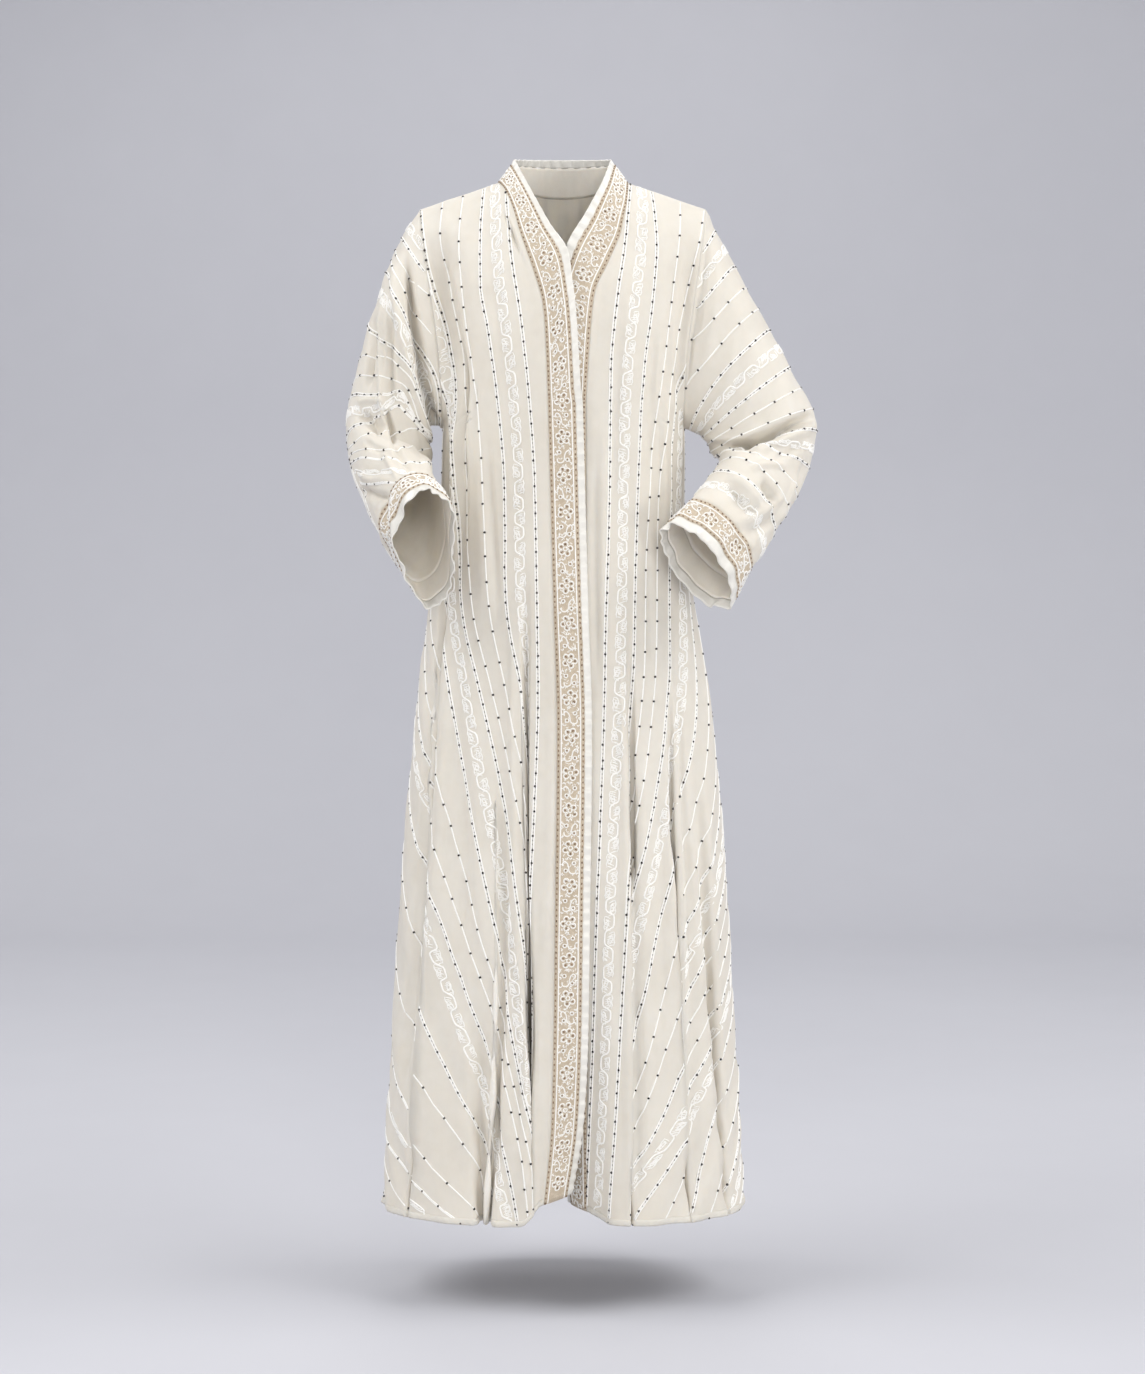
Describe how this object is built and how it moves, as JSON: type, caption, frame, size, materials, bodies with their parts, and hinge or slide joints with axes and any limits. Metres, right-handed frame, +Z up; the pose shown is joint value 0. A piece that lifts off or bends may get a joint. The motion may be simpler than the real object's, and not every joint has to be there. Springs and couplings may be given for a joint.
{
  "type": "open abaya cloak",
  "caption": "Ankle-length open-front robe in worn form, with long wide sleeves, a low collar, beaded trim bands along the front and cuffs, and hanging skirt folds.",
  "frame": {"origin": "midway between the two neck points of the shoulder line, where the wearer's shoulders carry the garment", "axes": "+Z up, -Y towards the front, +X to the wearer's left"},
  "size_m": [0.6238, 0.3296, 1.4167],
  "materials": {
    "cloth": "soft ivory crepe with raised white cord, lace bands and small sequins",
    "embroidered_trim": "beige net ground with white thread flowers, scrolls and rows of brown beads",
    "satin": "glossy white satin"
  },
  "bodies": {
    "root": {"front_right": "cloth", "front_left": "cloth", "back": "cloth", "sleeve_right": "cloth", "sleeve_left": "cloth", "trim_band_right": "embroidered_trim", "trim_band_neck": "embroidered_trim", "trim_band_left": "embroidered_trim", "satin_edge_right": "satin", "satin_edge_neck": "satin", "satin_edge_left": "satin", "cuff_band_right": "embroidered_trim", "cuff_band_left": "embroidered_trim", "cuff_satin_right": "satin", "cuff_satin_left": "satin"}
  },
  "joints": []
}
